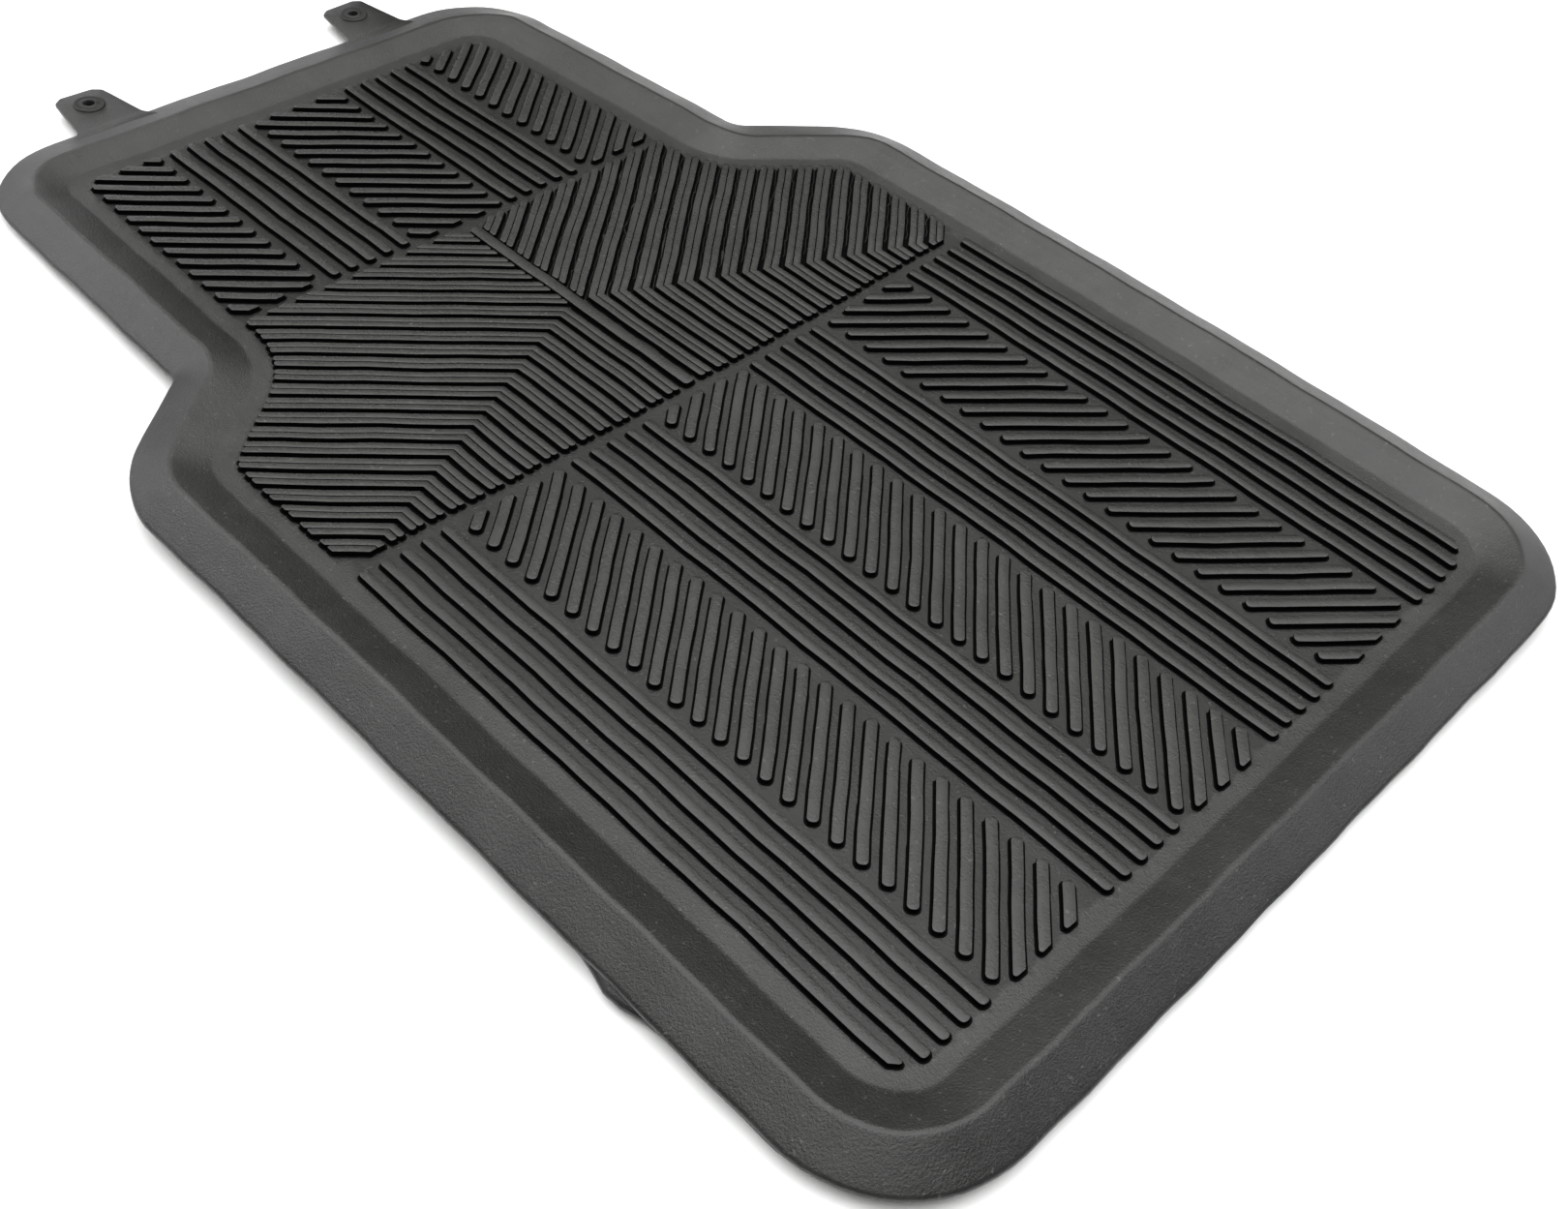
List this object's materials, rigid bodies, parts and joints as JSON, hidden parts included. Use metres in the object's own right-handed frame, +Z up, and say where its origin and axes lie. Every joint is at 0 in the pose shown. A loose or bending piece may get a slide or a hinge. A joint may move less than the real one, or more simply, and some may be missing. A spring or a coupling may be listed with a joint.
{
  "type": "floor mat set",
  "caption": "Set of vehicle floor mats of moulded rubber, nested one on the other, each a ribbed tray with a raised rim, a narrow neck and eyelet tabs.",
  "frame": {"origin": "on the floor, under the middle of the set's footprint", "axes": "+Z up from the floor, +Y towards the narrow end with the tabs, +X to the right when looking towards the tabs"},
  "size_m": [0.4594, 0.7278, 0.0138],
  "materials": {
    "rubber": "matte, finely grained moulded rubber",
    "eyelet": "satin moulded plastic"
  },
  "bodies": {
    "lower_mat": {"lower_mat_body": "rubber", "lower_mat_left_eyelet": "eyelet", "lower_mat_right_eyelet": "eyelet", "lower_mat_left_washer": "eyelet", "lower_mat_right_washer": "eyelet"},
    "upper_mat": {"upper_mat_body": "rubber", "upper_mat_left_eyelet": "eyelet", "upper_mat_right_eyelet": "eyelet", "upper_mat_left_washer": "eyelet", "upper_mat_right_washer": "eyelet"}
  },
  "joints": [
    {"name": "upper_mat_lift_off", "type": "slide", "parent": "lower_mat", "child": "upper_mat", "axis": [0, 0, 1], "range_m": [0, 0.12]}
  ]
}
